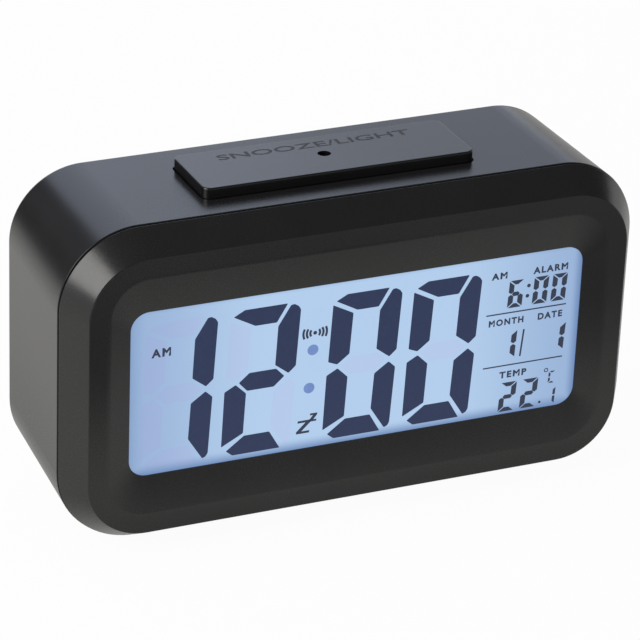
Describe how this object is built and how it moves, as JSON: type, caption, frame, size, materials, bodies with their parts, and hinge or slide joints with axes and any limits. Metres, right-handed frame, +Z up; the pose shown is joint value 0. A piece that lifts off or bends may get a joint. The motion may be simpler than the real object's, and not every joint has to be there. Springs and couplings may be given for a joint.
{
  "type": "digital alarm clock",
  "caption": "Battery digital alarm clock: backlit display in a chamfered black frame, broad snooze and light button on top, setting keys and battery door at the back.",
  "frame": {"origin": "on the ground under the middle of the clock's box", "axes": "+X to the right as the display is read, +Y from the display to the back, +Z up"},
  "size_m": [0.135, 0.0454, 0.078],
  "materials": {
    "case_black": "satin, fine moulded texture",
    "frame_black": "satin",
    "button_black": "satin, fine moulded texture",
    "display": "lit, satin film",
    "clear_glass": "clear",
    "acrylic": "clear, polished edges",
    "white_film": "matt white",
    "lamp": "clear resin, lit",
    "holder_white": "moulded",
    "zebra_grey": "striped soft rubber",
    "board_green": "solder mask",
    "resin_black": "semi-gloss resin",
    "switch_black": "moulded",
    "switch_white": "moulded",
    "steel": "zinc plated",
    "capacitor_sleeve": "shrink sleeve",
    "brass": "rolled",
    "piezo_ceramic": "silvered",
    "sensor_amber": "clear coat",
    "bead_black": "dipped resin",
    "cell_sleeve": "printed sleeve",
    "wire_red": "insulation",
    "wire_black": "insulation",
    "ribbon_grey": "insulation",
    "foot_rubber": "soft, matt"
  },
  "bodies": {
    "case": {"backlight_leds": "lamp", "battery_1": "cell_sleeve", "battery_2": "cell_sleeve", "battery_3": "cell_sleeve", "battery_lead_black": "wire_black", "battery_lead_red": "wire_red", "battery_springs": "steel", "buzzer_ceramic": "piezo_ceramic", "buzzer_disc": "brass", "buzzer_leads": "wire_red", "capacitors": "capacitor_sleeve", "case_screws": "steel", "chip_blob": "resin_black", "contact_link_left": "steel", "contact_link_right": "steel", "contact_negative": "steel", "contact_positive": "steel", "crystal": "steel", "diffuser_sheet": "white_film", "foot_front_left": "foot_rubber", "foot_front_right": "foot_rubber", "foot_rear_left": "foot_rubber", "foot_rear_right": "foot_rubber", "front_frame": "frame_black", "key_board": "board_green", "key_board_screws": "steel", "key_ribbon": "ribbon_grey", "key_switches": "switch_black", "lcd_front_glass": "clear_glass", "lcd_front_polariser": "display", "lcd_holder": "holder_white", "lcd_rear_glass": "clear_glass", "lcd_rear_polariser": "white_film", "light_guide": "acrylic", "light_sensor": "sensor_amber", "main_board": "board_green", "main_board_screws": "steel", "rear_housing": "case_black", "reflector_sheet": "white_film", "slide_switch_case": "steel", "snooze_switches": "switch_black", "thermistor": "bead_black", "top_board": "board_green", "top_board_screws": "steel", "top_ribbon": "ribbon_grey", "zebra_strip": "zebra_grey"},
    "snooze": {"snooze_button": "button_black", "snooze_plungers": "switch_white"},
    "slide_knob": {"slide_switch_knob": "switch_black"},
    "door": {"battery_door": "case_black"},
    "mode": {"mode_key": "button_black", "mode_plunger": "switch_white"},
    "set": {"set_key": "button_black", "set_plunger": "switch_white"},
    "up": {"up_key": "button_black", "up_plunger": "switch_white"},
    "down": {"down_key": "button_black", "down_plunger": "switch_white"}
  },
  "joints": [
    {"name": "snooze_press", "type": "slide", "parent": "case", "child": "snooze", "axis": [0, -0.0384, -0.9993], "range_m": [0, 0.0008], "stiffness_N_per_m": 400, "springref_m": -0.001},
    {"name": "mode_press", "type": "slide", "parent": "case", "child": "mode", "axis": [0, -1, 0], "range_m": [0, 0.0006], "stiffness_N_per_m": 500, "springref_m": -0.0005},
    {"name": "set_press", "type": "slide", "parent": "case", "child": "set", "axis": [0, -1, 0], "range_m": [0, 0.0006], "stiffness_N_per_m": 500, "springref_m": -0.0005},
    {"name": "up_press", "type": "slide", "parent": "case", "child": "up", "axis": [0, -1, 0], "range_m": [0, 0.0006], "stiffness_N_per_m": 500, "springref_m": -0.0005},
    {"name": "down_press", "type": "slide", "parent": "case", "child": "down", "axis": [0, -1, 0], "range_m": [0, 0.0006], "stiffness_N_per_m": 500, "springref_m": -0.0005},
    {"name": "sensor_slide", "type": "slide", "parent": "case", "child": "slide_knob", "axis": [1, 0, 0], "range_m": [0, 0.003]},
    {"name": "door_swing", "type": "hinge", "parent": "case", "child": "door", "pos_m": [0, 0.0211, 0.01105], "axis": [-1, 0, 0], "range_deg": [0, 75]}
  ]
}
